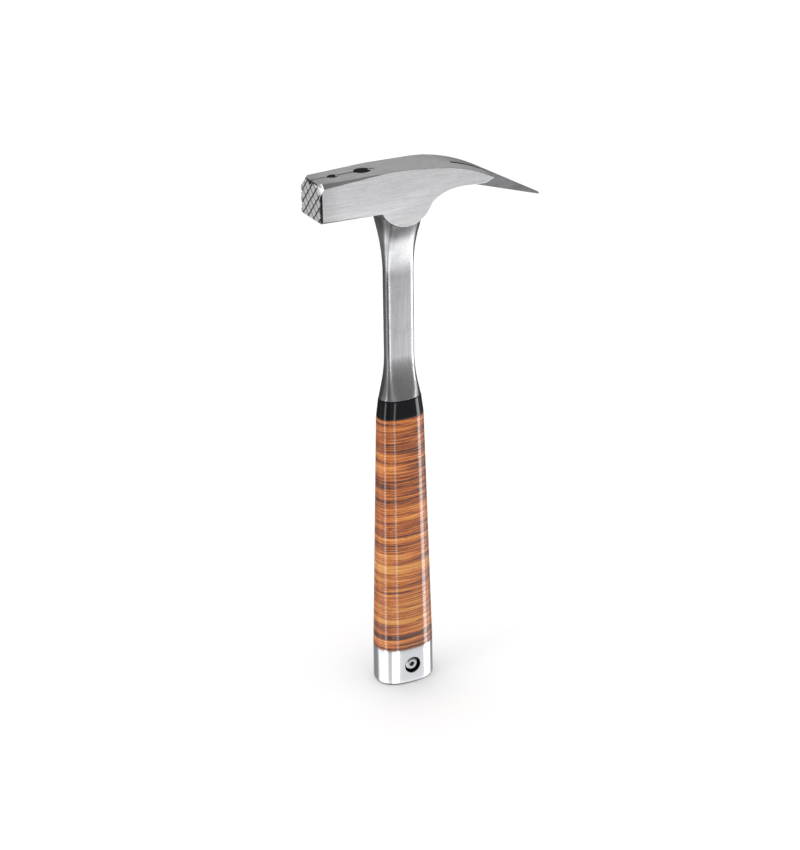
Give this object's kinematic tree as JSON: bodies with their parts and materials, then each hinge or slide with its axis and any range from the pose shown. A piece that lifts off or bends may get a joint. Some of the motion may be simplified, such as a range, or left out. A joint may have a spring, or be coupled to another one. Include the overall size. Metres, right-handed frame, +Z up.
{
  "type": "pick hammer",
  "caption": "One-piece steel roofer's pick hammer: square checkered poll with magnetic nail groove, spike with claw prong, stacked leather grip, black collar and aluminium butt cap.",
  "frame": {"origin": "centre of the butt face, under the handle's axis", "axes": "+Z up the handle to the head, -X towards the striking face, +X towards the spike tip, the claw prong on the -Y side"},
  "size_m": [0.1415, 0.026, 0.32],
  "materials": {
    "forged_steel": "ground and brushed bare steel, clear lacquer",
    "magnet": "nickel plated, dull",
    "collar": "glossy black",
    "leather": "sanded and lacquered, glossy",
    "aluminium_cap": "polished",
    "zinc_steel": "bright zinc"
  },
  "bodies": {
    "root": {"hammer_forging": "forged_steel", "nail_magnet": "magnet", "grip_collar": "collar", "butt_cap": "aluminium_cap", "cap_screw": "zinc_steel", "sleeve_nut": "zinc_steel", "leather_washer_01": "leather", "leather_washer_02": "leather", "leather_washer_03": "leather", "leather_washer_04": "leather", "leather_washer_05": "leather", "leather_washer_06": "leather", "leather_washer_07": "leather", "leather_washer_08": "leather", "leather_washer_09": "leather", "leather_washer_10": "leather", "leather_washer_11": "leather", "leather_washer_12": "leather", "leather_washer_13": "leather", "leather_washer_14": "leather", "leather_washer_15": "leather", "leather_washer_16": "leather", "leather_washer_17": "leather", "leather_washer_18": "leather", "leather_washer_19": "leather", "leather_washer_20": "leather", "leather_washer_21": "leather", "leather_washer_22": "leather", "leather_washer_23": "leather", "leather_washer_24": "leather", "leather_washer_25": "leather", "leather_washer_26": "leather", "leather_washer_27": "leather", "leather_washer_28": "leather", "leather_washer_29": "leather", "leather_washer_30": "leather", "leather_washer_31": "leather", "leather_washer_32": "leather", "leather_washer_33": "leather", "leather_washer_34": "leather", "leather_washer_35": "leather", "leather_washer_36": "leather", "leather_washer_37": "leather", "leather_washer_38": "leather", "leather_washer_39": "leather", "leather_washer_40": "leather", "leather_washer_41": "leather", "leather_washer_42": "leather"}
  },
  "joints": []
}
